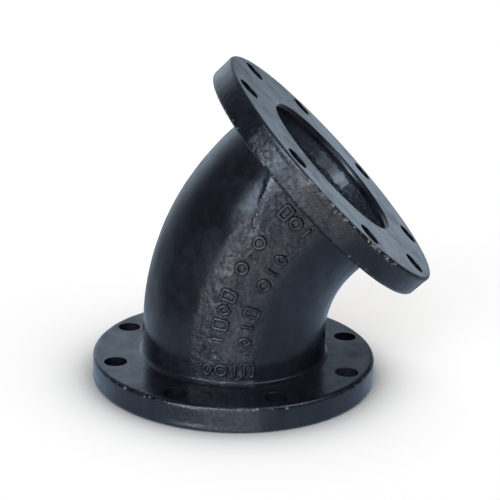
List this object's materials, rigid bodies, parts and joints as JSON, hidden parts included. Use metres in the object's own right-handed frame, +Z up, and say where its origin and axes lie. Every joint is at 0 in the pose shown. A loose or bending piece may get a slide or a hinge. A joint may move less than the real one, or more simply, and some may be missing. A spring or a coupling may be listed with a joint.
{
  "type": "flanged pipe bend",
  "caption": "Cast-iron pipe bend that turns a flanged line through 45 degrees, with a mortar-lined bore and drilled flanges at right angles to each end.",
  "frame": {"origin": "centre of the lower flange's turned face, which rests on the floor", "axes": "+Z up along the lower flange's axis, into the fitting; the bend lies in the XZ plane and its upper end leans towards +X"},
  "size_m": [0.3272, 0.2794, 0.3145],
  "materials": {
    "coated_iron": "as-cast iron under a glossy black bituminous coat; flange faces turned flat before coating",
    "sealed_mortar": "cement mortar lining with a wrinkled black bituminous seal coat"
  },
  "bodies": {
    "root": {"lower_flange": "coated_iron", "upper_flange": "coated_iron", "bend_body": "coated_iron", "body_marks": "coated_iron", "neck_marks": "coated_iron", "foot_marks": "coated_iron", "mortar_lining": "sealed_mortar"}
  },
  "joints": []
}
